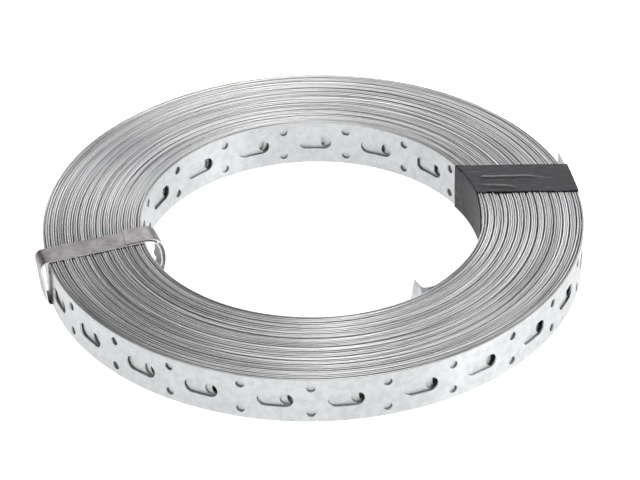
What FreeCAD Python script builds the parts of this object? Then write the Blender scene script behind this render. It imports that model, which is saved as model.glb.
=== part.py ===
"""Perforated steel strap wound flat into a roll, held by a steel band tie and a wrap of tape.

Millimetres, +Z up. The roll lies on its side with its axis on Z, and the origin is the point of that axis in the
plane that the roll rests on. Azimuths are counted from +X towards +Y, in degrees.
"""
import FreeCAD, Part
import Sketcher
import math
import os
import re

Vector = FreeCAD.Vector

# ---------------------------------------------------------------- driving sizes
SIZES = {
    # strap and its perforation: a cell is a slot with a pair of holes before it, and the die makes two at a stroke
    "strap_width": 20.0,
    "strap_thickness": 0.7,
    "slot_length": 14.0,
    "slot_width": 6.3,
    "hole_diameter": 3.5,
    "hole_spacing": 11.7,
    "hole_lead": 13.4,
    "cell_pitch": 27.0,
    "stroke_pitch": 56.6,
    # roll
    "bore_radius": 69.0,
    "turn_count": 44,
    "turn_gap": 0.237,
    "gap_depth": 1.5,
    "outer_first_slot": 26.2,
    "inner_first_slot": -26.2,
    # free ends of the strap: the outer one stands off the roll, and the inner one is bent into the bore
    "end_root": 1.2,
    "outer_end_azimuth": 18.5,
    "outer_end_length": 8.5,
    "outer_end_flare": 17.0,
    "inner_end_azimuth": -47.4,
    "inner_end_length": 4.4,
    "inner_end_flare": 30.0,
    "inner_flap_length": 7.0,
    "inner_flap_bend": 69.0,
    # what goes round the section of the roll
    "wrap_clearance": 0.05,
    "tie_width": 10.0,
    "tie_thickness": 0.55,
    "tie_azimuth": 199.0,
    "tie_offset": -9.3,
    "tie_inner_bulge": 8.0,
    "tie_outer_bulge": 3.0,
    "tie_inner_bend": 6.0,
    "tie_outer_bend": 3.0,
    "tie_lap_length": 8.0,
    "tape_width": 20.0,
    "tape_thickness": 0.55,
    "tape_offset": 24.0,
}

# ---------------------------------------------------------------- values worked out from them
DERIVED = {
    "outer_radius": "bore_radius + turn_count * strap_thickness + (turn_count - 1) * turn_gap",
    "coil_base": "tie_thickness + wrap_clearance",
    "coil_middle": "coil_base + strap_width / 2",
    "coil_top": "coil_base + strap_width",
    "wrap_top": "coil_top + wrap_clearance",
    "coil_tape": "wrap_clearance + tape_thickness",
    "outer_strokes": "floor(2 * pi * outer_radius / stroke_pitch)",
    "inner_strokes": "floor(2 * pi * bore_radius / stroke_pitch)",
    "inner_start_radius": "bore_radius + strap_thickness / 2",
    "inner_heading": "inner_end_azimuth - 90 - inner_end_flare",
}
NAMES = set(SIZES) | set(DERIVED)


def in_sheet(formula):
    """Write the sheet's name before each of its aliases in a formula."""
    return re.sub(r"[a-z_]+", lambda word: "Sizes." + word[0] if word[0] in NAMES else word[0], formula)


def make_sheet(doc):
    """Spreadsheet of the driving sizes, followed by the values worked out from them."""
    sheet = doc.addObject("Spreadsheet::Sheet", "Sizes")
    cells = {alias: str(value) for alias, value in SIZES.items()}
    cells.update({alias: "=" + formula for alias, formula in DERIVED.items()})
    for row, (alias, content) in enumerate(cells.items(), 1):
        sheet.set(f"A{row}", alias)
        sheet.set(f"B{row}", content)
        sheet.setAlias(f"B{row}", alias)
    doc.recompute()
    return sheet


# ---------------------------------------------------------------- helpers
def origin_feature(body, role):
    """One of a body's own origin planes or axes."""
    return [feature for feature in body.Origin.OriginFeatures if feature.Role == role][0]


def side_sketch(body, name):
    """Sketch on the body's own XZ plane, which looks along +Y."""
    sketch = body.newObject("Sketcher::SketchObject", name)
    sketch.AttachmentSupport = (origin_feature(body, "XZ_Plane"), [""])
    sketch.MapMode = "FlatFace"
    return sketch


def add_rectangle(sketch, x_range, z_range):
    """Rectangle between two pairs of formulas, measured from the sketch's origin."""
    corners = [Vector(1, 1, 0), Vector(2, 1, 0), Vector(2, 2, 0), Vector(1, 2, 0)]
    for index in range(4):
        sketch.addGeometry(Part.LineSegment(corners[index], corners[(index + 1) % 4]), False)
    for index in range(4):
        sketch.addConstraint(Sketcher.Constraint("Coincident", index, 2, (index + 1) % 4, 1))
    for index in (0, 2):
        sketch.addConstraint(Sketcher.Constraint("Horizontal", index))
        sketch.addConstraint(Sketcher.Constraint("Vertical", index + 1))
    limits = [("DistanceX", 0, x_range[0], 1), ("DistanceX", 1, x_range[1], 2),
              ("DistanceY", 0, z_range[0], 1), ("DistanceY", 2, z_range[1], 2)]
    for kind, line, formula, value in limits:
        number = sketch.addConstraint(Sketcher.Constraint(kind, -1, 1, line, 1, value))
        sketch.setExpression(f"Constraints[{number}]", in_sheet(formula))


def block(doc, name, x_range, y_width, z_range, bends=None):
    """Block across the XZ plane. Each bend rounds its edges along Y on the inner or outer side."""
    body = doc.addObject("PartDesign::Body", name)
    sketch = side_sketch(body, name + "_outline")
    add_rectangle(sketch, x_range, z_range)
    pad = body.newObject("PartDesign::Pad", name + "_pad")
    pad.Profile = sketch
    pad.Midplane = True
    pad.setExpression("Length", in_sheet(y_width))
    doc.recompute()
    for side, radius in (bends or {}).items():
        base = body.Tip
        fillet = body.newObject("PartDesign::Fillet", f"{name}_{side}_bend")
        fillet.Base = (base, cross_edges(base.Shape, side))
        fillet.setExpression("Radius", in_sheet(radius))
        body.Tip = fillet
        doc.recompute()
    return body


def cross_edges(shape, side):
    """Names of the straight edges along Y on the inner or the outer side of a block."""
    names = []
    for number, edge in enumerate(shape.Edges, 1):
        box = edge.BoundBox
        if box.YLength < 10 * max(box.XLength, box.ZLength) or len(edge.Vertexes) < 2:
            continue
        if (box.Center.x < shape.BoundBox.Center.x) == (side == "inner"):
            names.append(f"Edge{number}")
    return names


def tube(doc, name, radii, heights):
    """Ring about Z between two radii and two heights, all given as formulas."""
    body = doc.addObject("PartDesign::Body", name)
    sketch = side_sketch(body, name + "_section")
    add_rectangle(sketch, radii, heights)
    turn = body.newObject("PartDesign::Revolution", name + "_turn")
    turn.Profile = sketch
    turn.ReferenceAxis = (sketch, ["V_Axis"])
    turn.Angle = 360
    doc.recompute()
    return body


def combine(doc, kind, name, base, tool):
    """Part::Cut or Part::Common of two objects."""
    result = doc.addObject(kind, name)
    result.Base = base
    result.Tool = tool
    return result


def fuse(doc, name, pieces):
    """Part::MultiFuse of several objects."""
    result = doc.addObject("Part::MultiFuse", name)
    result.Shapes = pieces
    return result


def place(thing, x, y, angle):
    """Stand a piece at a point of the floor plan, turned about Z, all given as formulas."""
    thing.setExpression("Placement.Base.x", in_sheet(x))
    thing.setExpression("Placement.Base.y", in_sheet(y))
    thing.setExpression("Placement.Rotation.Angle", in_sheet(angle))


# ---------------------------------------------------------------- strap coil
def turned_roll(doc, sheet):
    """Ring of all the turns, with a groove between each two of them on both of its ends."""
    body = doc.addObject("PartDesign::Body", "turned_roll")
    sketch = side_sketch(body, "roll_section")
    upper = []
    lower = []
    inner = sheet.bore_radius
    for turn in range(int(sheet.turn_count)):
        outer = inner + sheet.strap_thickness
        upper += [Vector(inner, sheet.coil_top, 0), Vector(outer, sheet.coil_top, 0)]
        lower += [Vector(inner, sheet.coil_base, 0), Vector(outer, sheet.coil_base, 0)]
        inner = outer + sheet.turn_gap
        if turn < sheet.turn_count - 1:
            for radius in (outer, inner):
                upper.append(Vector(radius, sheet.coil_top - sheet.gap_depth, 0))
                lower.append(Vector(radius, sheet.coil_base + sheet.gap_depth, 0))
    outline = upper + lower[::-1]
    for start, end in zip(outline, outline[1:] + outline[:1]):
        sketch.addGeometry(Part.LineSegment(start, end), False)
    turn = body.newObject("PartDesign::Revolution", "roll_turn")
    turn.Profile = sketch
    turn.ReferenceAxis = (sketch, ["V_Axis"])
    turn.Angle = 360
    return body


def add_slot(sketch):
    """Round-ended slot along the strap, on its centre line."""
    up = Vector(0, 0, 1)
    right_end = Part.ArcOfCircle(Part.Circle(Vector(4, 10, 0), up, 3), -math.pi / 2, math.pi / 2)
    left_end = Part.ArcOfCircle(Part.Circle(Vector(-4, 10, 0), up, 3), math.pi / 2, 3 * math.pi / 2)
    sketch.addGeometry(Part.LineSegment(Vector(-4, 7, 0), Vector(4, 7, 0)), False)
    sketch.addGeometry(right_end, False)
    sketch.addGeometry(Part.LineSegment(Vector(4, 13, 0), Vector(-4, 13, 0)), False)
    sketch.addGeometry(left_end, False)
    for index in range(4):
        sketch.addConstraint(Sketcher.Constraint("Tangent", index, 2, (index + 1) % 4, 1))
    sketch.addConstraint(Sketcher.Constraint("Horizontal", 0))
    sketch.addConstraint(Sketcher.Constraint("Symmetric", 1, 3, 3, 3, -2))
    values = [(("Radius", 1, 3), "slot_width / 2"),
              (("DistanceY", -1, 1, 1, 3, 10), "coil_middle"),
              (("DistanceX", 3, 3, 1, 3, 8), "slot_length - slot_width")]
    for constraint, formula in values:
        number = sketch.addConstraint(Sketcher.Constraint(*constraint))
        sketch.setExpression(f"Constraints[{number}]", in_sheet(formula))


def add_hole_pair(sketch):
    """Two round holes, one above the other, either side of the strap's centre line."""
    for number, side in enumerate("-+"):
        sketch.addGeometry(Part.Circle(Vector(0, 4 + 12 * number, 0), Vector(0, 0, 1), 1), False)
        sketch.addConstraint(Sketcher.Constraint("PointOnObject", number, 3, -2))
        diameter = sketch.addConstraint(Sketcher.Constraint("Diameter", number, 2))
        height = sketch.addConstraint(Sketcher.Constraint("DistanceY", -1, 1, number, 3, 4 + 12 * number))
        sketch.setExpression(f"Constraints[{diameter}]", in_sheet("hole_diameter"))
        sketch.setExpression(f"Constraints[{height}]", in_sheet(f"coil_middle {side} hole_spacing / 2"))


def perforation(doc, name, radius, first_slot, strokes, reach):
    """Punches for every slot and hole pair round one turn of the strap."""
    body = doc.addObject("PartDesign::Body", name)
    body.AllowCompound = True
    per_length = f"180 / (pi * {radius})"
    for cell, shift in enumerate(("0", "cell_pitch")):
        pads = []
        for what, draw, lead in (("slot", add_slot, "0"), ("holes", add_hole_pair, "hole_lead")):
            sketch = side_sketch(body, f"{name}_{what}_{cell}")
            sketch.AttachmentOffset = FreeCAD.Placement(Vector(0, 0, 0), FreeCAD.Rotation(Vector(0, 1, 0), 10))
            draw(sketch)
            turn = in_sheet(f"{first_slot} + 90 + ({shift} - {lead}) * {per_length}")
            sketch.setExpression("AttachmentOffset.Rotation.Angle", turn)
            pad = body.newObject("PartDesign::Pad", f"{name}_{what}_pad_{cell}")
            pad.Profile = sketch
            pad.setExpression("Length", in_sheet(reach))
            pads.append(pad)
            doc.recompute()
        pattern = body.newObject("PartDesign::PolarPattern", f"{name}_pattern_{cell}")
        pattern.Originals = pads
        pattern.Axis = (origin_feature(body, "Z_Axis"), [""])
        pattern.setExpression("Angle", in_sheet(f"({strokes[cell]} - 1) * stroke_pitch * {per_length}"))
        pattern.setExpression("Occurrences", in_sheet(strokes[cell]))
        body.Tip = pattern
        doc.recompute()
    return body


def windows(doc, name, radii, punches):
    """What the punches take out of one turn: as deep as the strap is thick."""
    wall = tube(doc, name + "_wall", radii, ("coil_base", "coil_top"))
    return combine(doc, "Part::Common", name, wall, punches)


def strap_length(doc, name, length, start, heading):
    """Straight length of strap standing on its edge, from a point of the plan along a heading."""
    piece = block(doc, name, ("-end_root", length), "strap_thickness", ("coil_base", "coil_top"))
    place(piece, start[0], start[1], heading)
    return piece


def strap_coil(doc, sheet):
    """Whole strap: the turned roll, its perforated outer and inner turn, and both free ends."""
    outer_punches = perforation(doc, "outer_punches", "outer_radius", "outer_first_slot",
                                ("outer_strokes", "outer_strokes"), "outer_radius + strap_thickness")
    inner_punches = perforation(doc, "inner_punches", "bore_radius", "inner_first_slot",
                                ("inner_strokes + 1", "inner_strokes"), "bore_radius + 2 * strap_thickness")
    outer_windows = windows(doc, "outer_windows", ("outer_radius - strap_thickness", "outer_radius"), outer_punches)
    inner_windows = windows(doc, "inner_windows", ("bore_radius", "bore_radius + strap_thickness"), inner_punches)
    roll = combine(doc, "Part::Cut", "roll_outer_cut", turned_roll(doc, sheet), outer_windows)
    roll = combine(doc, "Part::Cut", "roll_inner_cut", roll, inner_windows)

    outer_start = [f"(outer_radius - strap_thickness / 2) * {axis}(outer_end_azimuth)" for axis in ("cos", "sin")]
    outer_end = strap_length(doc, "outer_end", "outer_end_length", outer_start,
                             "outer_end_azimuth + 90 - outer_end_flare")
    inner_start = [f"inner_start_radius * {axis}(inner_end_azimuth)" for axis in ("cos", "sin")]
    inner_end = strap_length(doc, "inner_end", "inner_end_length", inner_start, "inner_heading")
    kink = [f"inner_start_radius * {axis}(inner_end_azimuth) + inner_end_length * {axis}(inner_heading)"
            for axis in ("cos", "sin")]
    flap = block(doc, "inner_flap", ("-strap_thickness / 2", "inner_flap_length"), "strap_thickness",
                 ("coil_base", "coil_top"))
    place(flap, kink[0], kink[1], "inner_heading - inner_flap_bend")
    return fuse(doc, "strap_coil", [roll, outer_end, inner_end, flap])


# ---------------------------------------------------------------- what holds the roll together
def steel_tie(doc):
    """Band closed round the section of the roll. Its upper end laps the lower one, down into the bore."""
    inner = "bore_radius - tie_inner_bulge"
    outer = "outer_radius + tie_outer_bulge"
    outside = block(doc, "tie_outside", (inner, outer), "tie_width", ("0", "wrap_top + tie_thickness"),
                    {"inner": "tie_inner_bend", "outer": "tie_outer_bend"})
    inside = block(doc, "tie_inside", (inner + " + tie_thickness", outer + " - tie_thickness"), "tie_width + 2",
                   ("tie_thickness", "wrap_top"),
                   {"inner": "tie_inner_bend - tie_thickness", "outer": "tie_outer_bend - tie_thickness"})
    loop = combine(doc, "Part::Cut", "tie_loop", outside, inside)
    lap_outside = block(doc, "lap_outside", (inner + " - tie_thickness", outer), "tie_width",
                        ("-tie_thickness", "wrap_top + 2 * tie_thickness"),
                        {"inner": "tie_inner_bend + tie_thickness"})
    lap_inside = block(doc, "lap_inside", (inner, outer + " + 1"), "tie_width + 2",
                       ("0", "wrap_top + tie_thickness"), {"inner": "tie_inner_bend"})
    lap_zone = block(doc, "lap_zone", (inner + " - 2 * tie_thickness", "bore_radius + tie_lap_length"),
                     "tie_width + 2", ("coil_middle", "wrap_top + 3 * tie_thickness"))
    lap = combine(doc, "Part::Cut", "lap_shell", lap_outside, lap_inside)
    lap = combine(doc, "Part::Common", "lap_end", lap, lap_zone)
    tie = fuse(doc, "steel_tie", [loop, lap])
    place(tie, "-tie_offset * sin(tie_azimuth)", "tie_offset * cos(tie_azimuth)", "tie_azimuth")
    return tie


def tape_wrap(doc):
    """Tape wound round the section of the roll, close to all four of its sides."""
    sleeve = tube(doc, "tape_outside", ("bore_radius - coil_tape", "outer_radius + coil_tape"),
                  ("coil_base - coil_tape", "coil_top + coil_tape"))
    section = tube(doc, "tape_inside", ("bore_radius - wrap_clearance", "outer_radius + wrap_clearance"),
                   ("coil_base - wrap_clearance", "wrap_top"))
    zone = block(doc, "tape_zone", ("0", "2 * outer_radius"), "tape_width",
                 ("-coil_top", "2 * coil_top"))
    place(zone, "0", "tape_offset", "0")
    shell = combine(doc, "Part::Cut", "tape_sleeve", sleeve, section)
    return combine(doc, "Part::Common", "tape_wrap", shell, zone)


def main():
    """Build the document, check every object of it and write one file for each piece."""
    doc = FreeCAD.newDocument("PerforatedStrapRoll")
    sheet = make_sheet(doc)
    pieces = [strap_coil(doc, sheet), steel_tie(doc), tape_wrap(doc)]
    doc.recompute()
    for thing in doc.Objects:
        if "Invalid" in thing.State or "Error" in thing.State:
            raise RuntimeError(f"{thing.Label} did not build")
    for piece in pieces:
        if piece.Shape.isNull() or not piece.Shape.isValid() or len(piece.Shape.Solids) != 1:
            raise RuntimeError(f"{piece.Label} is not one valid solid")
    os.makedirs("parts", exist_ok=True)
    for piece in pieces:
        box = piece.Shape.BoundBox
        print(piece.Label, round(piece.Shape.Volume), [round(v, 2) for v in
              (box.XMin, box.XMax, box.YMin, box.YMax, box.ZMin, box.ZMax)])
        piece.Shape.exportStep(f"parts/{piece.Label}.step")


main()
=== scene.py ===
"""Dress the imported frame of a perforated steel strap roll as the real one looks.

The strap is wound turn by turn along its own spiral, with its slots and holes punched right through on the turns
that show. A steel band tie and a wrap of black tape go round the section of the roll.
"""
from __future__ import annotations

import logging
import math
from dataclasses import dataclass, field
from enum import Enum

import bmesh
import bpy
from mathutils import Matrix, Vector, noise

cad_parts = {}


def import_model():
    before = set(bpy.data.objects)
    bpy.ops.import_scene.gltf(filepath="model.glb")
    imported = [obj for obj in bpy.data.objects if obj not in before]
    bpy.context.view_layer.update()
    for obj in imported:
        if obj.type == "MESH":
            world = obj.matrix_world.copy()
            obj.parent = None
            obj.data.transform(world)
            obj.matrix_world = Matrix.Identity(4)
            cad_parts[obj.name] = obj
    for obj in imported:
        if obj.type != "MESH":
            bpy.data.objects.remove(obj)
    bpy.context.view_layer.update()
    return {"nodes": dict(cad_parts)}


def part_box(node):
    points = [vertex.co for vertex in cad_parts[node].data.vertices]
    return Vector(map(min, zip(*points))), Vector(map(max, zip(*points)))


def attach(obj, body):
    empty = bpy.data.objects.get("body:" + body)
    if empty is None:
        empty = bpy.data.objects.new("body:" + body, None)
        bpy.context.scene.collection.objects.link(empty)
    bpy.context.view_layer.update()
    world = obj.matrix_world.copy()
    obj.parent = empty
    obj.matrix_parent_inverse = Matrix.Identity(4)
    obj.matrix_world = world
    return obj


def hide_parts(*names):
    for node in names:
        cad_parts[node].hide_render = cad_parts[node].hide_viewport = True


LOG = logging.getLogger("strap_roll")
MM = 0.001
BORE_RADIUS = 69.0 * MM
RIM_CLEARANCE = 0.05 * MM
TIE_AZIMUTH = math.radians(199.0)


class Slot(Enum):
    """Names of the material slots of the record, which nothing here uses."""

    STRAP = "galvanised_strap"
    TIE = "tie_steel"
    TAPE = "black_tape"


class CellKind(Enum):
    """What is punched in the piece of strap that a stretch of the winding repeats."""

    PUNCHED = "punched"
    PLAIN = "plain"


# ------------------------------------------------------------------ finishes
class NodeMaker:
    """Node tree with short calls for the nodes that are used more than once."""

    def __init__(self, tree: bpy.types.NodeTree) -> None:
        """Work on a tree."""
        self.tree = tree

    def add(self, kind: str, inputs: dict | None = None, **settings: object) -> bpy.types.Node:
        """Add a node.

        Args:
            kind: Node type.
            inputs: Values of its sockets, or the sockets that feed them, by name or number.
            settings: Properties of the node.

        Returns:
            The new node.
        """
        node = self.tree.nodes.new(kind)
        for key, value in settings.items():
            setattr(node, key, value)
        for key, value in (inputs or {}).items():
            if isinstance(value, bpy.types.NodeSocket):
                self.tree.links.new(value, node.inputs[key])
            else:
                node.inputs[key].default_value = value
        return node

    def math(self, operation: str, first: object, second: object = 0.0) -> bpy.types.NodeSocket:
        """Return the result of a sum on two numbers or sockets."""
        return self.add("ShaderNodeMath", {0: first, 1: second}, operation=operation).outputs[0]

    def vector(self, x: object, y: object, z: object) -> bpy.types.NodeSocket:
        """Return a vector of three numbers or sockets."""
        return self.add("ShaderNodeCombineXYZ", {0: x, 1: y, 2: z}).outputs[0]

    def axes(self, vector: bpy.types.NodeSocket) -> bpy.types.NodeOutputs:
        """Return the sockets X, Y and Z of a vector."""
        return self.add("ShaderNodeSeparateXYZ", {0: vector}).outputs

    def noise(self, vector: bpy.types.NodeSocket, scale: float, detail: float = 3.0) -> bpy.types.NodeSocket:
        """Return the level of a noise of a scale, read at a vector."""
        node = self.add("ShaderNodeTexNoise", {"Vector": vector, "Scale": scale, "Detail": detail})
        return node.outputs["Fac"]

    def ramp(self, level: bpy.types.NodeSocket, stops: list[tuple[float, tuple]]) -> bpy.types.NodeSocket:
        """Map a level to colours.

        Args:
            level: Socket that gives the level.
            stops: Position and colour of the two stops.

        Returns:
            The colour socket.
        """
        node = self.add("ShaderNodeValToRGB", {"Fac": level})
        for element, (position, colour) in zip(node.color_ramp.elements, stops):
            element.position = position
            element.color = (*colour, 1.0)
        return node.outputs["Color"]

    def mask(self, level: bpy.types.NodeSocket, start: float, end: float, top: float) -> bpy.types.NodeSocket:
        """Return a grey that goes from black at one level to a top value at another."""
        return self.ramp(level, [(start, (0, 0, 0)), (end, (top, top, top))])

    def mix(self, level: object, first: object, second: object) -> bpy.types.NodeSocket:
        """Mix two colours, each a socket or three numbers, and return the result."""
        colours = [(*colour, 1.0) if isinstance(colour, tuple) else colour for colour in (first, second)]
        return self.add("ShaderNodeMixRGB", {"Fac": level, 1: colours[0], 2: colours[1]}).outputs[0]

    def span(self, level: bpy.types.NodeSocket, low: float, high: float,
             start: float = 0.0, end: float = 1.0) -> bpy.types.NodeSocket:
        """Map a level between two bounds to a new range and return it."""
        node = self.add("ShaderNodeMapRange", {"Value": level, "From Min": start, "From Max": end,
                                               "To Min": low, "To Max": high})
        return node.outputs[0]


class Shader(NodeMaker):
    """Node tree of one material round a Principled shader."""

    def __init__(self, name: str) -> None:
        """Start a material of a name that holds a Principled shader alone."""
        self.material = bpy.data.materials.new(name)
        self.material.use_nodes = True
        super().__init__(self.material.node_tree)
        self.surface = self.tree.nodes["Principled BSDF"]

    def feed(self, name: str, value: object) -> None:
        """Give an input of the surface its value, or the socket that feeds it."""
        if isinstance(value, bpy.types.NodeSocket):
            self.tree.links.new(value, self.surface.inputs[name])
        else:
            self.surface.inputs[name].default_value = value

    def bump(self, height: bpy.types.NodeSocket, distance: float, strength: float) -> None:
        """Raise the surface by a height over a distance in metres."""
        node = self.add("ShaderNodeBump", {"Height": height, "Distance": distance, "Strength": strength})
        self.feed("Normal", node.outputs[0])


@dataclass(frozen=True)
class ZincFinish:
    """Zinc coating of the strap: clouded on its faces, brighter and grained on its sheared edges."""

    pale: tuple[float, float, float] = (0.82, 0.835, 0.84)
    grey: tuple[float, float, float] = (0.60, 0.62, 0.625)
    edge: tuple[float, float, float] = (0.92, 0.92, 0.93)
    edge_dark: tuple[float, float, float] = (0.40, 0.395, 0.40)
    rust: tuple[float, float, float] = (0.62, 0.54, 0.46)
    tarnish: tuple[float, float, float] = (0.10, 0.10, 0.11)
    clean_share: float = 0.92
    cloud_scale: float = 70.0
    spangle_scale: float = 330.0
    fine_scale: float = 900.0
    rust_scale: float = 26.0
    grain_along: float = 14.0
    grain_across: float = 1300.0

    def faces(self, shader: Shader, place: bpy.types.NodeSocket, cloud: bpy.types.NodeSocket,
              fine: bpy.types.NodeSocket) -> bpy.types.NodeSocket:
        """Return the clouded, speckled colour of the strap's faces."""
        spangle = shader.noise(place, self.spangle_scale, 4.0)
        faces = shader.ramp(cloud, [(0.35, self.grey), (0.58, self.pale)])
        faces = shader.mix(0.45, faces, shader.ramp(spangle, [(0.38, self.grey), (0.56, self.pale)]))
        return shader.mix(0.2, faces, shader.ramp(fine, [(0.3, self.grey), (0.7, self.pale)]))

    def build(self) -> bpy.types.Material:
        """Build the material and return it."""
        shader = Shader("zinc coated strap")
        place = shader.add("ShaderNodeTexCoord").outputs["Object"]
        cloud = shader.noise(place, self.cloud_scale, 4.0)
        fine = shader.noise(place, self.fine_scale, 2.0)
        axes = shader.axes(place)
        flat = shader.vector(axes["X"], axes["Y"], 0.0)
        radius = shader.add("ShaderNodeVectorMath", {0: flat}, operation="LENGTH").outputs["Value"]
        faces = shader.mix(self.clean_share, self.tarnish, self.faces(shader, place, cloud, fine))
        grain = shader.noise(shader.vector(shader.math("MULTIPLY", axes["X"], self.grain_along),
                                           shader.math("MULTIPLY", axes["Y"], self.grain_along),
                                           shader.math("MULTIPLY", radius, self.grain_across)), 1.0, 4.0)
        worn = shader.mask(shader.noise(place, self.rust_scale, 5.0), 0.66, 0.84, 0.5)
        edge = shader.mix(worn, shader.ramp(grain, [(0.34, self.edge_dark), (0.66, self.edge)]), self.rust)
        normal = shader.axes(shader.add("ShaderNodeNewGeometry").outputs["Normal"])
        on_edge = shader.span(shader.math("ABSOLUTE", normal["Z"]), 0.0, 1.0, 0.35, 0.75)
        shader.feed("Base Color", shader.mix(on_edge, faces, edge))
        rough = shader.span(cloud, 0.36, 0.50, 0.3, 0.7)
        edge_rough = shader.span(grain, 0.24, 0.42, 0.3, 0.7)
        shader.feed("Roughness", shader.add("ShaderNodeMix", {0: on_edge, 2: rough, 3: edge_rough}).outputs[0])
        shader.feed("Metallic", 1.0)
        shader.feed("Anisotropic", 0.85)
        shader.feed("Anisotropic Rotation", 0.25)
        shader.feed("Tangent", shader.add("ShaderNodeTangent", direction_type="RADIAL", axis="Z").outputs[0])
        shader.bump(fine, 0.04 * MM, 0.5)
        return shader.material


@dataclass(frozen=True)
class BandFinish:
    """Bare grey steel of the tie, scuffed, darker at its bends and pale on its sheared edges."""

    bright: tuple[float, float, float] = (0.48, 0.45, 0.46)
    dull: tuple[float, float, float] = (0.33, 0.305, 0.315)
    dark: tuple[float, float, float] = (0.26, 0.24, 0.25)
    rim_bend_dark: tuple[float, float, float] = (0.05, 0.048, 0.05)
    shear: tuple[float, float, float] = (0.97, 0.96, 0.95)
    azimuth: float = TIE_AZIMUTH
    cloud_scale: float = 160.0
    scuff_scale: float = 620.0
    pit_scale: float = 1400.0

    def build(self) -> bpy.types.Material:
        """Build the material and return it."""
        shader = Shader("grey steel band")
        coordinates = shader.add("ShaderNodeTexCoord").outputs
        place = coordinates["Object"]
        cloud = shader.noise(place, self.cloud_scale, 5.0)
        scuffs = shader.mask(shader.noise(place, self.scuff_scale, 4.0), 0.52, 0.68, 0.7)
        steel = shader.mix(scuffs, shader.ramp(cloud, [(0.35, self.dull), (0.7, self.bright)]), self.dark)
        bend = shader.add("ShaderNodeAttribute", attribute_name="bend").outputs["Fac"]
        # near-black at its sharp bends over the outer rim
        steel = shader.mix(shader.span(bend, 0.0, 0.85, 0.30, 0.75), steel, self.rim_bend_dark)
        turned = shader.add("ShaderNodeVectorRotate", {"Vector": coordinates["Normal"], "Angle": -self.azimuth},
                            rotation_type="Z_AXIS")
        sheared = shader.math("ABSOLUTE", shader.axes(turned.outputs[0])["Y"])
        shader.feed("Base Color", shader.mix(shader.span(sheared, 0.0, 1.0, 0.30, 0.60), steel, self.shear))
        shader.feed("Roughness", shader.span(cloud, 0.32, 0.48, 0.3, 0.7))
        shader.feed("Metallic", 1.0)
        shader.bump(shader.noise(place, self.pit_scale, 2.0), 0.04 * MM, 0.4)
        return shader.material


@dataclass(frozen=True)
class TapeFinish:
    """Black plastic tape, dull, with a fine crackle, pale rubbed creases and painted shadow beside its folds."""

    black: tuple[float, float, float] = (0.030, 0.027, 0.032)
    fold_shadow_black: tuple[float, float, float] = (0.006, 0.005, 0.007)
    rubbed: tuple[float, float, float] = (0.095, 0.088, 0.1)
    pale: tuple[float, float, float] = (0.46, 0.44, 0.47)
    crease_scale: float = 220.0
    hair_scale: float = 420.0

    def build(self) -> bpy.types.Material:
        """Build the material and return it."""
        shader = Shader("black tape")
        place = shader.add("ShaderNodeTexCoord").outputs["Object"]
        stretch = shader.add("ShaderNodeMapping", {"Vector": place, "Scale": (1.0, 3.0, 1.0)}).outputs[0]
        creases = shader.noise(stretch, self.crease_scale, 6.0)
        level = shader.add("ShaderNodeAttribute", attribute_name="crease").outputs["Fac"]
        drawn = shader.add("ShaderNodeMapping", {"Vector": place, "Scale": (0.35, 2.2, 0.5)}).outputs[0]
        hairs = shader.mask(shader.noise(drawn, self.hair_scale, 2.0), 0.62, 0.76, 0.4)
        tape = shader.mix(hairs, shader.ramp(creases, [(0.40, self.black), (0.75, self.rubbed)]), self.pale)
        # painted shadow: near-black where the crease level goes negative, just in front of each fold
        tape = shader.mix(shader.span(level, 0.0, 0.95, -0.1, -0.5), tape, self.fold_shadow_black)
        shader.feed("Base Color", shader.mix(shader.span(level, 0.0, 0.85, 0.35, 1.0), tape, self.pale))
        shader.feed("Roughness", shader.span(creases, 0.42, 0.62, 0.3, 0.7))
        shader.feed("Specular IOR Level", 0.4)
        shader.bump(creases, 0.4 * MM, 0.6)
        return shader.material


# ------------------------------------------------------------------ mesh helpers
def as_object(name: str, build: bmesh.types.BMesh, sharp: float = 35.0) -> bpy.types.Object:
    """Turn a mesh under construction into a smooth-shaded object.

    Args:
        name: Name of the object.
        build: The mesh, which is freed.
        sharp: Angle in degrees past which an edge stays sharp.

    Returns:
        The new object, linked to the scene.
    """
    mesh = bpy.data.meshes.new(name)
    build.to_mesh(mesh)
    build.free()
    mesh.shade_smooth()
    mesh.set_sharp_from_angle(angle=math.radians(sharp))
    thing = bpy.data.objects.new(name, mesh)
    bpy.context.scene.collection.objects.link(thing)
    return thing


def smooth_path(points: list[Vector], steps: int) -> list[Vector]:
    """Pass a rounded line through points.

    Args:
        points: Points that the line passes through.
        steps: Pieces between each two of them.

    Returns:
        Points along the line, ends included.
    """
    whole = [points[0] * 2 - points[1], *points, points[-1] * 2 - points[-2]]
    line: list[Vector] = []
    for before, start, end, after in zip(whole, whole[1:], whole[2:], whole[3:]):
        for step in range(steps):
            t = step / steps
            line.append(0.5 * (2 * start + (end - before) * t + (2 * before - 5 * start + 4 * end - after) * t * t
                               + (3 * start - before - 3 * end + after) * t ** 3))
    line.append(points[-1].copy())
    return line


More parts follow.
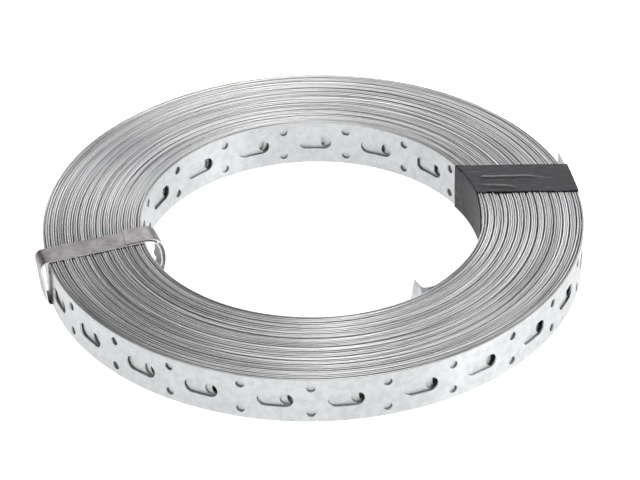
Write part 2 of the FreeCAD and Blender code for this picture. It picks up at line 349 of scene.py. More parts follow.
# ------------------------------------------------------------------ strap
@dataclass
class StrapCell:
    """One stroke of the punching die: two slots and two pairs of holes in a flat length of strap."""

    width: float = 20.0 * MM
    thickness: float = 0.66 * MM
    slot_length: float = 14.0 * MM
    slot_width: float = 6.3 * MM
    hole_radius: float = 1.75 * MM
    hole_spacing: float = 11.7 * MM
    length: float = 56.28 * MM
    holes_at: tuple[float, float] = (7.0 * MM, 34.0 * MM)
    hole_lead: float = 13.4 * MM
    edge_round: float = 0.20 * MM

    @property
    def first_slot(self) -> float:
        """Distance of the first slot's middle from the start of the cell."""
        return self.holes_at[0] + self.hole_lead

    def columns(self, kind: CellKind) -> list[float]:
        """Places along the strap where its outline is sampled.

        Args:
            kind: What is punched in the cell.

        Returns:
            Distances from the start, in order.
        """
        if kind is CellKind.PLAIN:
            return [self.length * step / 8 for step in range(9)]
        places = {0.0, self.length}
        for hole in self.holes_at:
            places |= {hole - self.hole_radius * math.cos(math.pi * step / 8) for step in range(9)}
            slot = hole + self.hole_lead
            straight = (self.slot_length - self.slot_width) / 2
            for step in range(6):
                reach = straight + self.slot_width / 2 * math.sin(math.pi / 2 * step / 5)
                places |= {slot - reach, slot + reach}
            places.add(slot)
            places.add(hole + self.hole_radius + (self.hole_lead - self.slot_length / 2 - self.hole_radius) / 2)
            places.add(slot + self.slot_length / 2 + 2.3 * MM)
        return sorted(places)

    def openings(self, place: float, kind: CellKind) -> list[tuple[float, float]]:
        """Lowest and highest point of each opening at a place along the strap.

        Args:
            place: Distance from the start of the cell.
            kind: What is punched in the cell.

        Returns:
            Lower hole, slot and upper hole, each a pair that is equal where nothing is open.
        """
        middle = self.width / 2
        hole = slot = 0.0
        if kind is CellKind.PUNCHED:
            for centre in self.holes_at:
                hole = max(hole, self.half_height(place - centre, 0.0, self.hole_radius))
                straight = (self.slot_length - self.slot_width) / 2
                slot = max(slot, self.half_height(place - centre - self.hole_lead, straight, self.slot_width / 2))
        offset = self.hole_spacing / 2
        return [(middle - offset - hole, middle - offset + hole), (middle - slot, middle + slot),
                (middle + offset - hole, middle + offset + hole)]

    @staticmethod
    def half_height(distance: float, straight: float, radius: float) -> float:
        """Half height of a round-ended opening at a distance from its middle."""
        past = max(0.0, abs(distance) - straight)
        return math.sqrt(max(0.0, radius * radius - past * past)) if past < radius - 1e-9 else 0.0

    def build(self, kind: CellKind) -> bpy.types.Object:
        """Build the flat cell, with its length along X and its outer face towards +Y.

        Args:
            kind: What is punched in the cell.

        Returns:
            The cell's object.
        """
        build = bmesh.new()
        half = self.thickness / 2
        crown = 0.07 * MM
        edges = [(0.62 * half, crown), (0.0, 0.0), (-0.62 * half, crown)]
        previous: dict[str, list] | None = None
        for place in self.columns(kind):
            heights = [self.edge_round]
            for low, high in self.openings(place, kind):
                heights += [low, high]
            heights.append(self.width - self.edge_round)
            column = {side: [build.verts.new((place, y, z)) for z in heights]
                      for side, y in (("outer", half), ("inner", -half))}
            column["top"] = [build.verts.new((place, y, self.width - drop)) for y, drop in edges]
            column["bottom"] = [build.verts.new((place, y, drop)) for y, drop in edges]
            if previous:
                self.join(build, previous, column)
            previous = column
        bmesh.ops.remove_doubles(build, verts=build.verts, dist=1e-7)
        return as_object(f"strap_cell_{kind.value}", build)

    @staticmethod
    def join(build: bmesh.types.BMesh, left: dict[str, list], right: dict[str, list]) -> None:
        """Lay the faces between two columns of the cell."""
        def quad(a: object, b: object, c: object, d: object) -> None:
            """Add a face unless its two sides have closed up."""
            if (a.co - d.co).length > 1e-8 or (b.co - c.co).length > 1e-8:
                build.faces.new((a, b, c, d))

        for band in range(0, 8, 2):
            quad(right["outer"][band], left["outer"][band], left["outer"][band + 1], right["outer"][band + 1])
            quad(left["inner"][band], right["inner"][band], right["inner"][band + 1], left["inner"][band + 1])
        for opening in range(1, 7, 2):
            for row, flip in ((opening, False), (opening + 1, True)):
                is_open = any(side["outer"][opening + 1].co.z - side["outer"][opening].co.z > 1e-7
                              for side in (left, right))
                if not is_open:
                    continue
                ring = (left["outer"][row], right["outer"][row], right["inner"][row], left["inner"][row])
                build.faces.new(ring if flip else ring[::-1])
        for name, row, flip in (("top", 7, False), ("bottom", 0, True)):
            lines = [(side["outer"][row], *side[name], side["inner"][row]) for side in (left, right)]
            for step in range(4):
                ring = (lines[0][step], lines[1][step], lines[1][step + 1], lines[0][step + 1])
                build.faces.new(ring if flip else ring[::-1])


class WindingTree(NodeMaker):
    """Geometry Nodes tree that lays cells end to end and winds them on a spiral."""

    INPUTS = (("Cells", "NodeSocketInt"), ("Cell Length", "NodeSocketFloat"), ("Start Length", "NodeSocketFloat"),
              ("Core Radius", "NodeSocketFloat"), ("Turn Pitch", "NodeSocketFloat"),
              ("Start Azimuth", "NodeSocketFloat"), ("Whole Turns", "NodeSocketFloat"),
              ("Bunching", "NodeSocketFloat"), ("Ripple", "NodeSocketFloat"), ("Lift", "NodeSocketFloat"),
              ("Base", "NodeSocketFloat"), ("Cell", "NodeSocketObject"), ("Material", "NodeSocketMaterial"))

    GROUPS_PER_TURN = 0.31
    STEP_SHARE = 0.45
    CALM_AZIMUTH = 130.0
    CALM_SHARE = 0.6

    def __init__(self) -> None:
        """Build the tree."""
        super().__init__(bpy.data.node_groups.new("wind the strap", "GeometryNodeTree"))
        for name, kind in self.INPUTS:
            self.tree.interface.new_socket(name, in_out="INPUT", socket_type=kind)
        self.tree.interface.new_socket("Geometry", in_out="OUTPUT", socket_type="NodeSocketGeometry")
        self.given = self.tree.nodes.new("NodeGroupInput").outputs
        self.build()

    def wander(self, cosine: object, sine: object, turns: object, along: float, across: float,
               size: object) -> bpy.types.NodeSocket:
        """Return a smooth wandering number that changes along the strap and from turn to turn."""
        where = self.vector(self.math("MULTIPLY", cosine, along), self.math("MULTIPLY", sine, along),
                            self.math("MULTIPLY", turns, across))
        return self.math("MULTIPLY", self.math("SUBTRACT", self.noise(where, 1.0, 1.0), 0.5), size)

    def smooth(self, level: object, end: float) -> bpy.types.NodeSocket:
        """Return a number that eases from 0 to 1 while a level goes from 0 to an end."""
        node = self.add("ShaderNodeMapRange", {"Value": level, "From Max": end}, interpolation_type="SMOOTHSTEP")
        return node.outputs[0]

    def bunch(self, cosine: object, sine: object, turns: object) -> bpy.types.NodeSocket:
        """Return how far a turn moves so that a few turns lie close and a wider gap follows them.

        Args:
            cosine: Cosine of the azimuth.
            sine: Sine of the azimuth.
            turns: Turns from the inner end.

        Returns:
            The move along the radius, which fades out on the first and last turns.
        """
        given = self.given
        groups = self.math("ADD", self.math("MULTIPLY", turns, self.GROUPS_PER_TURN),
                           self.wander(cosine, sine, turns, 0.8, 0.10, 1.6))
        whole = self.math("FLOOR", groups)
        part = self.math("SUBTRACT", self.math("SUBTRACT", groups, whole), 0.5 - self.STEP_SHARE / 2)
        stair = self.math("ADD", whole, self.smooth(part, self.STEP_SHARE))
        centred = self.math("SUBTRACT", self.math("DIVIDE", turns, given["Whole Turns"]), 0.5)
        move = self.math("SUBTRACT", self.math("SUBTRACT", stair, groups), centred)
        left = self.math("SUBTRACT", given["Whole Turns"], turns)
        faded = self.math("MULTIPLY", self.smooth(turns, 2.0), self.smooth(left, 2.0))
        away = math.radians(self.CALM_AZIMUTH)
        toward = self.math("ADD", self.math("MULTIPLY", cosine, math.cos(away)),
                           self.math("MULTIPLY", sine, math.sin(away)))
        calm = self.math("MULTIPLY", self.math("MAXIMUM", toward, 0.0), self.CALM_SHARE)
        faded = self.math("MULTIPLY", faded, self.math("SUBTRACT", 1.0, calm))
        return self.math("MULTIPLY", self.math("MULTIPLY", move, faded), given["Bunching"])

    def build(self) -> None:
        """Lay the cells, find where each point lies on the spiral and move it there."""
        given = self.given
        step = self.vector(given["Cell Length"], 0.0, 0.0)
        line = self.add("GeometryNodeMeshLine", {"Count": given["Cells"], "Offset": step}, mode="OFFSET")
        cell = self.add("GeometryNodeObjectInfo", {"Object": given["Cell"]})
        cells = self.add("GeometryNodeInstanceOnPoints",
                          {"Points": line.outputs[0], "Instance": cell.outputs["Geometry"]})
        strip = self.add("GeometryNodeRealizeInstances", {0: cells.outputs[0]})
        merged = self.add("GeometryNodeMergeByDistance", {0: strip.outputs[0], "Distance": 1e-6})
        place = self.axes(self.add("GeometryNodeInputPosition").outputs[0])
        run = self.math("ADD", place["X"], given["Start Length"])
        core = given["Core Radius"]
        pitch = given["Turn Pitch"]
        inside = self.math("ADD", self.math("MULTIPLY", core, core),
                           self.math("DIVIDE", self.math("MULTIPLY", pitch, run), math.pi))
        centre = self.math("SQRT", inside)
        turns = self.math("DIVIDE", self.math("SUBTRACT", centre, core), pitch)
        azimuth = self.math("ADD", self.math("MULTIPLY", turns, math.tau), given["Start Azimuth"])
        cosine = self.math("COSINE", azimuth)
        sine = self.math("SINE", azimuth)
        ripple = self.wander(cosine, sine, turns, 1.6, 0.45, given["Ripple"])
        lift = self.wander(cosine, sine, turns, 1.1, 2.3, given["Lift"])
        shift = self.math("ADD", ripple, self.bunch(cosine, sine, turns))
        radius = self.math("ADD", self.math("ADD", centre, place["Y"]), shift)
        height = self.math("ADD", self.math("ADD", place["Z"], lift), given["Base"])
        wound = self.vector(self.math("MULTIPLY", cosine, radius), self.math("MULTIPLY", sine, radius), height)
        moved = self.add("GeometryNodeSetPosition", {"Geometry": merged.outputs[0], "Position": wound})
        dressed = self.add("GeometryNodeSetMaterial",
                            {"Geometry": moved.outputs[0], "Material": given["Material"]})
        self.tree.links.new(dressed.outputs[0], self.tree.nodes.new("NodeGroupOutput").inputs[0])

    def identifier(self, name: str) -> str:
        """Return the identifier of a named input."""
        return next(item.identifier for item in self.tree.interface.items_tree
                    if item.name == name and item.in_out == "INPUT")


@dataclass
class Stretch:
    """Run of the winding made of one kind of cell."""

    name: str
    kind: CellKind
    start: float
    cells: int
    length: float


@dataclass
class StrapCoil:
    """The wound strap with both of its free ends."""

    base: float
    bore_radius: float
    outer_radius: float
    cell: StrapCell = field(default_factory=StrapCell)
    inner_azimuth: float = math.radians(-47.4)
    outer_azimuth: float = math.radians(12.0)
    full_turns: int = 43
    inner_slot: float = math.radians(111.0)
    outer_slot: float = math.radians(-97.9)
    inner_strokes: int = 31
    outer_strokes: int = 60
    bunching: float = 0.6 * MM
    ripple: float = 0.2 * MM
    lift: float = 0.9 * MM
    inner_stroke: float = 53.93 * MM
    flap_length: float = 8.2 * MM
    outer_stand: float = 1.3 * MM
    outer_heading: float = math.radians(101.0)
    outer_slant: float = 0.4 * MM
    inner_leave: float = 120.0
    inner_bend: float = math.radians(76.0)
    inner_slant: float = 5.0 * MM
    inner_lead: float = 4.4 * MM

    @property
    def turns(self) -> float:
        """Turns from the inner end of the strap to its outer end."""
        return self.full_turns + (self.outer_azimuth - self.inner_azimuth) / math.tau

    @property
    def core(self) -> float:
        """Radius of the strap's own middle at its inner end."""
        return self.bore_radius + self.cell.thickness / 2

    @property
    def pitch(self) -> float:
        """Distance between the middles of two turns."""
        return (self.outer_radius - self.cell.thickness / 2 - self.core) / self.turns

    def run_at(self, turns: float) -> float:
        """Length of strap from the inner end to a number of turns."""
        angle = turns * math.tau
        return self.core * angle + self.pitch * angle * angle / (4 * math.pi)

    def stretches(self) -> list[Stretch]:
        """Divide the strap into punched and plain runs that keep the slots at their places.

        Returns:
            The runs, from the inner end outwards.
        """
        stroke = self.cell.length
        first = self.run_at((self.inner_slot - self.inner_azimuth) / math.tau) - self.cell.first_slot
        inner_start = first % self.inner_stroke
        inner_end = inner_start + self.inner_strokes * self.inner_stroke
        last_turn = self.full_turns + (self.outer_slot - self.inner_azimuth) / math.tau
        outer_anchor = self.run_at(last_turn) - self.cell.first_slot
        whole = self.run_at(self.turns)
        after = int((whole - outer_anchor) // stroke)
        outer_start = outer_anchor - (self.outer_strokes - after) * stroke
        outer_end = outer_anchor + after * stroke
        plain = round((outer_start - inner_end) / stroke)
        return [
            Stretch("inner_lead", CellKind.PLAIN, 0.0, 1, inner_start),
            Stretch("inner_turns", CellKind.PUNCHED, inner_start, self.inner_strokes, self.inner_stroke),
            Stretch("middle_turns", CellKind.PLAIN, inner_end, plain, (outer_start - inner_end) / plain),
            Stretch("outer_turns", CellKind.PUNCHED, outer_start, self.outer_strokes, stroke),
            Stretch("outer_tail", CellKind.PLAIN, outer_end, 1, whole - outer_end),
        ]

    def build(self, finish: bpy.types.Material) -> list[bpy.types.Object]:
        """Wind the strap and add its free ends.

        Args:
            finish: Material of the strap.

        Returns:
            The pieces that stand for the coil.
        """
        winding = WindingTree()
        made: dict[str, bpy.types.Object] = {}
        for stretch in self.stretches():
            made[stretch.name] = self.wind(winding, stretch, finish)
        ends = self.inner_flap(finish), self.outer_flap(finish)
        return [
            self.join("strap_inner_turns", [made["inner_turns"], made["inner_lead"], ends[0]], finish),
            self.join("strap_middle_turns", [made["middle_turns"]], finish),
            self.join("strap_outer_turns", [made["outer_turns"], made["outer_tail"], ends[1]], finish),
        ]

    def wind(self, winding: WindingTree, stretch: Stretch, finish: bpy.types.Material) -> bpy.types.Object:
        """Wind one run of the strap as a plain mesh.

        Args:
            winding: Tree that winds it.
            stretch: The run.
            finish: Material of the strap.

        Returns:
            Object that holds the wound run.
        """
        cell = StrapCell(length=stretch.length)
        flat = cell.build(stretch.kind)
        holder = bpy.data.objects.new(stretch.name, bpy.data.meshes.new(stretch.name))
        bpy.context.scene.collection.objects.link(holder)
        modifier = holder.modifiers.new("wind", "NODES")
        modifier.node_group = winding.tree
        values = {"Cells": stretch.cells, "Cell Length": stretch.length, "Start Length": stretch.start,
                  "Core Radius": self.core, "Turn Pitch": self.pitch, "Start Azimuth": self.inner_azimuth,
                  "Whole Turns": self.turns, "Bunching": self.bunching, "Ripple": self.ripple,
                  "Lift": self.lift, "Base": self.base, "Cell": flat, "Material": finish}
        for name, value in values.items():
            modifier[winding.identifier(name)] = value
        bpy.context.view_layer.update()
        graph = bpy.context.evaluated_depsgraph_get()
        mesh = bpy.data.meshes.new_from_object(holder.evaluated_get(graph))
        mesh.name = stretch.name
        mesh.shade_smooth()
        mesh.set_sharp_from_angle(angle=math.radians(40.0))
        holder.modifiers.remove(modifier)
        holder.data = mesh
        bpy.data.objects.remove(flat)
        return holder

    def strip_along(self, name: str, plan: list[Vector], finish: bpy.types.Material,
                    slant: float) -> bpy.types.Object:
        """Stand a short length of strap on its edge along a line of the plan.

        Args:
            name: Name of the object.
            plan: Points of the line.
            finish: Material of the strap.
            slant: How much further the last point lies at the bottom than at the top.

        Returns:
            The new object.
        """
        build = bmesh.new()
        half = self.cell.thickness / 2
        rim = self.cell.edge_round
        profile = [(-half, rim), (-0.6 * half, 0.0), (0.6 * half, 0.0), (half, rim),
                   (half, self.cell.width - rim), (0.6 * half, self.cell.width),
                   (-0.6 * half, self.cell.width), (-half, self.cell.width - rim)]
        rings = []
        for index, point in enumerate(plan):
            ahead = plan[min(index + 1, len(plan) - 1)] - plan[max(index - 1, 0)]
            ahead.normalize()
            side = Vector((ahead.y, -ahead.x, 0.0))
            last = index == len(plan) - 1
            ring = []
            for across, height in profile:
                reach = slant * (1.0 - height / self.cell.width) if last else 0.0
                ring.append(build.verts.new(point + side * across + ahead * reach
                                            + Vector((0.0, 0.0, self.base + height))))
            rings.append(ring)
        for first, second in zip(rings, rings[1:]):
            for index in range(len(profile)):
                after = (index + 1) % len(profile)
                build.faces.new((first[index], first[after], second[after], second[index]))
        build.faces.new(rings[0])
        build.faces.new(rings[-1][::-1])
        bmesh.ops.recalc_face_normals(build, faces=build.faces)
        thing = as_object(name, build)
        thing.data.materials.append(finish)
        return thing

    def inner_flap(self, finish: bpy.types.Material) -> bpy.types.Object:
        """Build the inner free end, which leaves the bore wall, kinks and points into the bore."""
        start = Vector((math.cos(self.inner_azimuth), math.sin(self.inner_azimuth), 0.0)) * self.core
        heading = self.inner_azimuth - math.radians(self.inner_leave)
        kink = start + Vector((math.cos(heading), math.sin(heading), 0.0)) * self.inner_lead
        bent = heading - self.inner_bend
        tip = kink + Vector((math.cos(bent), math.sin(bent), 0.0)) * (self.flap_length - 2.0 * MM)
        behind = start - Vector((math.cos(heading + 0.5), math.sin(heading + 0.5), 0.0)) * 1.0 * MM
        plan = [behind, start.lerp(kink, 0.3), start.lerp(kink, 0.85), kink.lerp(tip, 0.12), tip]
        return self.strip_along("inner_flap", plan, finish, self.inner_slant)

    def outer_flap(self, finish: bpy.types.Material) -> bpy.types.Object:
        """Build the outer free end, which stands off the roll past the tape."""
        radius = self.outer_radius - self.cell.thickness / 2
        plan = []
        for step in range(6):
            turn = self.outer_azimuth + math.radians(1.3 * step - 0.1)
            reach = radius + self.outer_stand * (step / 5) ** 2
            plan.append(Vector((math.cos(turn) * reach, math.sin(turn) * reach, 0.0)))
        along = Vector((math.cos(self.outer_heading), math.sin(self.outer_heading), 0.0))
        plan += [plan[-1] + along * 4.0 * MM, plan[-1] + along * 8.3 * MM]
        return self.strip_along("outer_flap", plan, finish, self.outer_slant)

    @staticmethod
    def join(name: str, things: list[bpy.types.Object], finish: bpy.types.Material) -> bpy.types.Object:
        """Join objects into one and return it."""
        build = bmesh.new()
        for thing in things:
            build.from_mesh(thing.data)
        mesh = bpy.data.meshes.new(name)
        build.to_mesh(mesh)
        build.free()
        for face in mesh.polygons:
            face.material_index = 0
        mesh.materials.append(finish)
        joined = bpy.data.objects.new(name, mesh)
        bpy.context.scene.collection.objects.link(joined)
        for thing in things:
            bpy.data.objects.remove(thing)
        return joined


# ------------------------------------------------------------------ tie and tape
@dataclass
class SteelTie:
    """Narrow steel band round the section of the roll, lapped over the bore."""

    top: float
    bore_radius: float
    outer_radius: float
    width: float = 10.0 * MM
    thickness: float = 0.5 * MM
    azimuth: float = TIE_AZIMUTH
    offset: float = -9.3 * MM
    inner_bulge: float = 8.0 * MM
    outer_bulge: float = 3.0 * MM
    lap_shift: float = 0.8 * MM
    lap_skew: float = -0.7 * MM
    edge_round: float = 0.12 * MM
    gap_below: float = 0.08 * MM
    gap_above: float = 0.05 * MM
    gap_in_lap: float = 0.02 * MM

    def route(self) -> list[Vector]:
        """Middle line of the band in its own plane, from the end on top to the end in the bore."""
        bore = self.bore_radius
        rim = self.outer_radius
        low = self.thickness / 2 + self.gap_below
        lid = self.top + self.gap_above + self.thickness / 2
        lap = lid + self.thickness + self.gap_in_lap
        reach = bore - self.inner_bulge
        plan = [
            (bore + 7.8 * MM, lap), (bore + 3.5 * MM, lap), (bore - 1.0 * MM, lap - 0.05 * MM),
            (bore - 4.6 * MM, lap - 1.2 * MM), (reach + 1.0 * MM, lap - 4.6 * MM), (reach + 0.3 * MM, 11.5 * MM),
            (reach + 1.6 * MM, 5.0 * MM), (bore - 4.0 * MM, 1.2 * MM), (bore - 1.0 * MM, low),
            (bore + 12.0 * MM, low), (rim - 6.0 * MM, low), (rim - 0.6 * MM, low + 0.05 * MM),
            (rim + 1.0 * MM, 1.6 * MM), (rim + 1.5 * MM, 6.0 * MM), (rim + 2.2 * MM, 13.0 * MM),
            (rim + self.outer_bulge - 0.4 * MM, lid - 3.0 * MM), (rim + 1.6 * MM, lid - 0.7 * MM),
            (rim - 0.8 * MM, lid), (rim - 8.0 * MM, lid), (bore + 12.0 * MM, lid), (bore + 3.0 * MM, lid),
            (bore - 1.0 * MM, lid - 0.1 * MM), (bore - 4.0 * MM, lid - 1.6 * MM), (reach + 2.4 * MM, lid - 5.2 * MM),
            (reach + 2.0 * MM, 11.0 * MM), (reach + 2.6 * MM, 8.0 * MM),
        ]
        shifts = [-self.lap_shift] * 3 + [-self.lap_shift * 0.7, -self.lap_shift * 0.3]
        shifts += [0.0] * (len(plan) - len(shifts))
        return [Vector((x, shift, z)) for (x, z), shift in zip(plan, shifts)]

    def build(self, finish: bpy.types.Material) -> bpy.types.Object:
        """Sweep the band's section along its route.

        Args:
            finish: Material of the band.

        Returns:
            The tie.
        """
        line = smooth_path(self.route(), 5)
        build = bmesh.new()
        half = self.thickness / 2
        side = self.width / 2
        rim = self.edge_round
        section = [(-half, -side + rim), (-half + rim, -side), (half - rim, -side), (half, -side + rim),
                   (half, 0.0), (half, side - rim), (half - rim, side), (-half + rim, side), (-half, side - rim),
                   (-half, 0.0)]
        rings = []
        for index, point in enumerate(line):
            ahead = line[min(index + 1, len(line) - 1)] - line[max(index - 1, 0)]
            ahead.normalize()
            out = Vector((ahead.z, 0.0, -ahead.x))
            skew = self.lap_skew if index == 0 else 0.0
            rings.append([build.verts.new(point + out * rise + Vector((0.0, across, 0.0))
                                          + ahead * skew * across / side) for rise, across in section])
        # bends: how sharply the band turns, counted only near the outer rim, where the finish darkens it
        bends = []
        for index, point in enumerate(line):
            before = point - line[max(index - 3, 0)]
            after = line[min(index + 3, len(line) - 1)] - point
            turn = before.angle(after, 0.0)
            on_rim = min(1.0, max(0.0, (point.x - self.outer_radius + 2.5 * MM) / (2.5 * MM)))
            bends += [min(1.0, turn / 0.9) * on_rim] * len(section)
        count = len(section)
        for first, second in zip(rings, rings[1:]):
            for index in range(count):
                after = (index + 1) % count
                build.faces.new((first[index], first[after], second[after], second[index]))
        build.faces.new(rings[0])
        build.faces.new(rings[-1][::-1])
        bmesh.ops.recalc_face_normals(build, faces=build.faces)
        shift = Matrix.Rotation(self.azimuth, 4, "Z") @ Matrix.Translation((0.0, self.offset, 0.0))
        bmesh.ops.transform(build, matrix=shift, verts=build.verts)
        tie = as_object("steel_band_tie", build)
        tie.data.attributes.new("bend", "FLOAT", "POINT").data.foreach_set("value", bends)
        tie.data.materials.append(finish)
        return tie


@dataclass
class TapeWrap:
    """Short wrap of soft tape that hugs the section of the roll, creased over its edges."""

    base: float
    top: float
    bore_radius: float
    outer_radius: float
    back: float = 34.0 * MM
    front: float = 14.0 * MM
    layer: float = 0.28 * MM
    clear: float = 0.06 * MM
    end_bulge: float = 1.4 * MM
    wall_slump: float = 11.0 * MM
    wall_lean: float = 1.6 * MM
    floor_slump: float = 4.0 * MM
    tallest: float = 0.85 * MM

    def corner(self, turn: float, across: float) -> Vector:
        """Point of the tape at a share of the way round the section and a share of its width.

        Args:
            turn: Share round the section, from 0 at the bottom of the bore side, up, outwards, down and back.
            across: Share of the width, 0 at the front edge and 1 at the back edge.

        Returns:
            The point on the tape's middle surface.
        """
        rise = self.top - self.base + 2 * self.grow
        reach = self.outer_radius - self.bore_radius + 2 * self.grow
        whole = 2 * (rise + reach)
        along = turn * whole
        low = self.base - self.grow
        if along < rise:
            radial, height = 0.0, low + along
        elif along < rise + reach:
            radial, height = (along - rise) / reach, low + rise
        elif along < 2 * rise + reach:
            radial, height = 1.0, low + rise - (along - rise - reach)
        else:
            radial, height = 1.0 - (along - 2 * rise - reach) / reach, low
        drop = 1.0 - (height - low) / rise
        on_wall = max(0.0, 1.0 - 12.0 * radial)
        gather = 1.0 - (1.0 - min(1.0, drop / 0.3)) ** 2
        slump = (1.0 - across) * (on_wall * (self.wall_slump * gather - self.wall_lean * drop)
                                  + (1.0 - on_wall) * (1.0 - radial) * self.floor_slump * drop)
        y = self.front + (self.back - self.front) * across - slump
        inner = math.sqrt((self.bore_radius - self.grow) ** 2 - y * y)
        outer = math.sqrt((self.outer_radius + self.grow + self.end_bulge * across ** 2) ** 2 - y * y)
        return Vector((inner + (outer - inner) * radial, y, height))

    def fold(self, point: Vector, across: float) -> float:
        """Height of the long folds on top, as a share of the tallest.

        Args:
            point: Point of the tape.
            across: Share of the width, 0 at the front edge.

        Returns:
            A level from 0 to about 1.
        """
        out = (point.x - self.bore_radius) / MM
        reach = min(1.0, max(0.0, (out + 1.0) / 3.0)) * min(1.0, max(0.0, (27.0 - out) / 6.0))
        sway = noise.noise(Vector((point.x * 110, 0.0, 5.0))) * 0.05
        upper = math.exp(-((across - 0.55 - sway) / 0.035) ** 2)
        lower = math.exp(-((across - 0.26 + out * 0.006 - 2 * sway) / 0.045) ** 2)
        middle = math.exp(-((across - 0.40 - out * 0.003 - sway) / 0.03) ** 2)
        return reach * (upper + 0.8 * lower * min(1.0, max(0.0, (18.0 - out) / 5.0)) + 0.35 * middle)

    def relief(self, point: Vector, across: float, near_bore: float) -> tuple[float, float]:
        """Find how the tape is creased at a point.

        Args:
            point: Point of the tape.
            across: Share of the width, 0 at the front edge.
            near_bore: 1 at the bore, falling to 0 over the roll.

        Returns:
            How far it stands up there, and how pale its crease is; the level goes negative for the painted shadow
            just in front of each fold.
        """
        crease = noise.noise(Vector((point.x * 90, point.y * 240, point.z * 90)))
        fine = noise.noise(Vector((point.x * 420, point.y * 500, point.z * 420 + 7.0)))
        on_top = point.z > self.top - MM
        fold = self.fold(point, across) if on_top else 0.0
        # shade: the fold read a little further back, which marks the painted shadow in front of it
        shade = self.fold(point, across + 0.075) if on_top else 0.0
        rise = max(0.0, crease) * 0.30 * MM + max(0.0, fine) * 0.12 * MM + fold * 0.62 * MM
        level = min(1.0, fold + max(0.0, fine) * 0.8 * (1.0 - across) * near_bore) - 0.9 * shade
        return min(rise, self.tallest) if point.z > self.base else 0.0, level

    @property
    def grow(self) -> float:
        """Distance of the tape's middle surface from the roll."""
        return self.clear + self.layer / 2

    def build(self, finish: bpy.types.Material) -> bpy.types.Object:
        """Build the wrap with its creases.

        Args:
            finish: Material of the tape.

        Returns:
            The tape.
        """
        around = 220
        across = 40
        build = bmesh.new()
        grid = [[self.corner(step / around, row / across) for row in range(across + 1)]
                for step in range(around)]
        middle = Vector(((self.bore_radius + self.outer_radius) / 2, 0.0, (self.base + self.top) / 2))
        rows = []
        levels: list[float] = []
        for step, row in enumerate(grid):
            verts = []
            for index, point in enumerate(row):
                ahead = grid[(step + 1) % around][index] - grid[step - 1][index]
                side = row[min(index + 1, across)] - row[max(index - 1, 0)]
                out = ahead.cross(side).normalized()
                if out.dot(point - middle) < 0:
                    out = -out
                near_bore = max(0.0, 1.0 - (point.x - self.bore_radius) / (26.0 * MM))
                rise, level = self.relief(point, index / across, near_bore)
                levels.append(level)
                ragged = 0.0
                if index == 0:
                    ragged = noise.noise(Vector((point.x * 160, point.z * 160, 3.0))) * 1.3 * MM * near_bore
                    ragged += noise.noise(Vector((point.x * 420, point.z * 420, 8.0))) * 0.4 * MM
                verts.append(build.verts.new(point + out * rise + Vector((0.0, ragged, 0.0))))
            rows.append(verts)
        for step in range(around):
            first = rows[step]
            second = rows[(step + 1) % around]
            for index in range(across):
                build.faces.new((first[index], second[index], second[index + 1], first[index + 1]))
        bmesh.ops.recalc_face_normals(build, faces=build.faces)
        tape = as_object("black_tape_wrap", build, 60.0)
        # the crease attribute holds the pale creases and, where negative, the painted fold shadow
        tape.data.attributes.new("crease", "FLOAT", "POINT").data.foreach_set("value", levels)
        solid = tape.modifiers.new("layer", "SOLIDIFY")
        solid.thickness = self.layer
        solid.offset = 0.0
        tape.data.materials.append(finish)
        return tape


# ------------------------------------------------------------------ studio
@dataclass(frozen=True)
class Lamp:
    """Soft rectangular lamp: where it hangs in degrees, its size in metres and its watts."""

    name: str
    azimuth: float
    elevation: float
    size: tuple[float, float]
    power: float
    distance: float = 1.1

    def hang(self) -> None:
        """Hang the lamp so that it faces the roll."""
        data = bpy.data.lights.new(self.name, "AREA")
        data.shape = "RECTANGLE"
        data.size, data.size_y = self.size
        data.energy = self.power
        turn, rise = math.radians(self.azimuth), math.radians(self.elevation)
        away = Vector((math.cos(turn) * math.cos(rise), math.sin(turn) * math.cos(rise), math.sin(rise)))
        lamp = bpy.data.objects.new(self.name, data)
        lamp.location = away * self.distance
        lamp.rotation_euler = away.to_track_quat("Z", "Y").to_euler()
        bpy.context.scene.collection.objects.link(lamp)


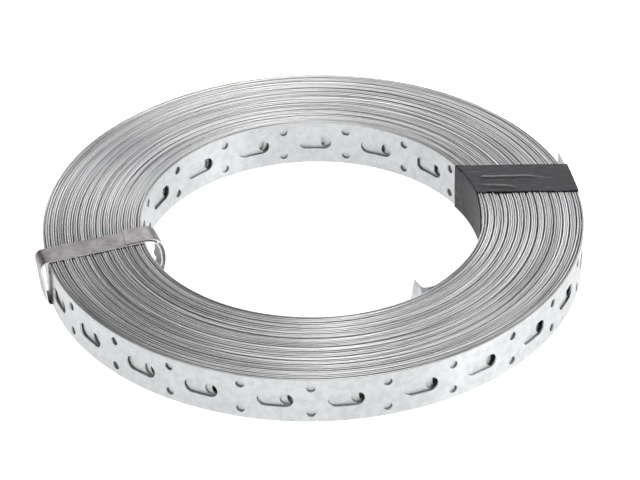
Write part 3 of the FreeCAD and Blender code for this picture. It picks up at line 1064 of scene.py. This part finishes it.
@dataclass
class Studio:
    """Pale floor, soft lamps, a white room and the camera."""

    LAMPS = (
        Lamp("high back lamp", 82.0, 60.0, (0.16, 0.42), 1.75),
        Lamp("high left lamp", 107.0, 60.0, (0.22, 0.42), 0.9),
        Lamp("low back lamp", 75.0, 38.0, (0.6, 0.3), 1.3),
        Lamp("right lamp", -5.0, 25.0, (0.5, 0.5), 0.9),
        Lamp("front right lamp", -30.0, 20.0, (0.6, 0.5), 2.3),
        Lamp("front lamp", -95.0, 42.0, (0.5, 0.4), 0.8),
    )

    target: tuple[float, float, float] = (2.856 * MM, 10.446 * MM, 0.6 * MM)
    elevation: float = math.radians(34.85)
    roll: float = math.radians(-0.916)
    distance: float = 1125.08 * MM
    focal: float = 152.9
    horizon: tuple[float, float, float] = (0.95, 0.95, 0.96)
    overhead: tuple[float, float, float] = (0.16, 0.16, 0.165)
    room_strength: float = 0.75
    floor_size: float = 6.0
    floor_drop: float = 0.05 * MM
    floor_tone: float = 0.93
    floor_glow: float = 0.85

    def camera(self) -> None:
        """Set the camera in front of the roll, looking down on it."""
        away = Vector((0.0, -math.cos(self.elevation), math.sin(self.elevation)))
        right = Vector((1.0, 0.0, 0.0))
        up = right.cross(-away)
        turned_right = right * math.cos(self.roll) + up * math.sin(self.roll)
        turned_up = up * math.cos(self.roll) - right * math.sin(self.roll)
        turn = Matrix((turned_right, turned_up, away)).transposed().to_4x4()
        data = bpy.data.cameras.new("camera")
        data.lens = self.focal
        data.sensor_width = 36.0
        data.clip_start = 0.05
        data.clip_end = 20.0
        camera = bpy.data.objects.new("camera", data)
        camera.matrix_world = Matrix.Translation(Vector(self.target) + away * self.distance) @ turn
        bpy.context.scene.collection.objects.link(camera)
        bpy.context.scene.camera = camera

    def world(self) -> None:
        """Surround the roll with a pale room that the camera sees as white."""
        world = bpy.data.worlds.new("room")
        world.use_nodes = True
        bpy.context.scene.world = world
        world.node_tree.nodes.clear()
        maker = NodeMaker(world.node_tree)
        height = maker.axes(maker.add("ShaderNodeTexCoord").outputs["Generated"])["Z"]
        fade = maker.ramp(height, [(0.0, self.horizon), (0.85, self.overhead)])
        room = maker.add("ShaderNodeBackground", {"Color": fade, "Strength": self.room_strength})
        white = maker.add("ShaderNodeBackground", {"Color": (1.0, 1.0, 1.0, 1.0), "Strength": 1.0})
        seen = maker.add("ShaderNodeLightPath").outputs["Is Camera Ray"]
        mix = maker.add("ShaderNodeMixShader", {0: seen, 1: room.outputs[0], 2: white.outputs[0]})
        maker.add("ShaderNodeOutputWorld", {0: mix.outputs[0]})

    def floor(self) -> None:
        """Lay the pale floor, which glows a little to the camera and in reflections."""
        build = bmesh.new()
        bmesh.ops.create_grid(build, x_segments=1, y_segments=1, size=self.floor_size)
        floor = as_object("floor", build)
        floor.data.transform(Matrix.Translation((0.0, 0.0, -self.floor_drop)))
        shader = Shader("pale floor")
        shader.feed("Base Color", (self.floor_tone, self.floor_tone, self.floor_tone, 1.0))
        shader.feed("Roughness", 0.9)
        shader.feed("Specular IOR Level", 0.0)
        path = shader.add("ShaderNodeLightPath").outputs
        glow = shader.add("ShaderNodeEmission", {"Color": (1.0, 1.0, 1.0, 1.0), "Strength": self.floor_glow})
        matt = shader.surface.outputs[0]
        added = shader.add("ShaderNodeAddShader", {0: matt, 1: glow.outputs[0]})
        watched = shader.math("MAXIMUM", path["Is Camera Ray"], path["Is Glossy Ray"])
        shown = shader.add("ShaderNodeMixShader", {0: watched, 1: matt, 2: added.outputs[0]})
        output = next(node for node in shader.tree.nodes if node.type == "OUTPUT_MATERIAL")
        shader.tree.links.new(shown.outputs[0], output.inputs[0])
        floor.data.materials.append(shader.material)

    def build(self) -> None:
        """Set up the whole studio."""
        bpy.context.scene.view_settings.view_transform = "Standard"
        self.camera()
        self.world()
        self.floor()
        for lamp in self.LAMPS:
            lamp.hang()


def dress(piece: bpy.types.Object, node: str) -> None:
    """Give a piece its place in the frame.

    Args:
        piece: The piece.
        node: Node that it stands for.
    """
    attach(piece, "root")
    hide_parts(node)
    LOG.info("%s: %d faces", piece.name, len(piece.data.polygons))


def main() -> None:
    """Load the frame, build every piece over it and report them."""
    logging.basicConfig(level=logging.INFO, format="%(message)s")
    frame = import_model()
    LOG.info("frame of %s", ", ".join(sorted(frame["nodes"])))
    low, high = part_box("strap_coil")
    base, top = low[2], high[2]
    outer_radius = -low[1] - RIM_CLEARANCE
    Studio().build()
    coil = StrapCoil(base=base, bore_radius=BORE_RADIUS, outer_radius=outer_radius)
    for piece in coil.build(ZincFinish().build()):
        dress(piece, "strap_coil")
    tie = SteelTie(top=top, bore_radius=BORE_RADIUS, outer_radius=outer_radius)
    dress(tie.build(BandFinish().build()), "steel_tie")
    tape = TapeWrap(base=base, top=top, bore_radius=BORE_RADIUS, outer_radius=outer_radius)
    dress(tape.build(TapeFinish().build()), "tape_wrap")


if __name__ == "__main__":
    main()
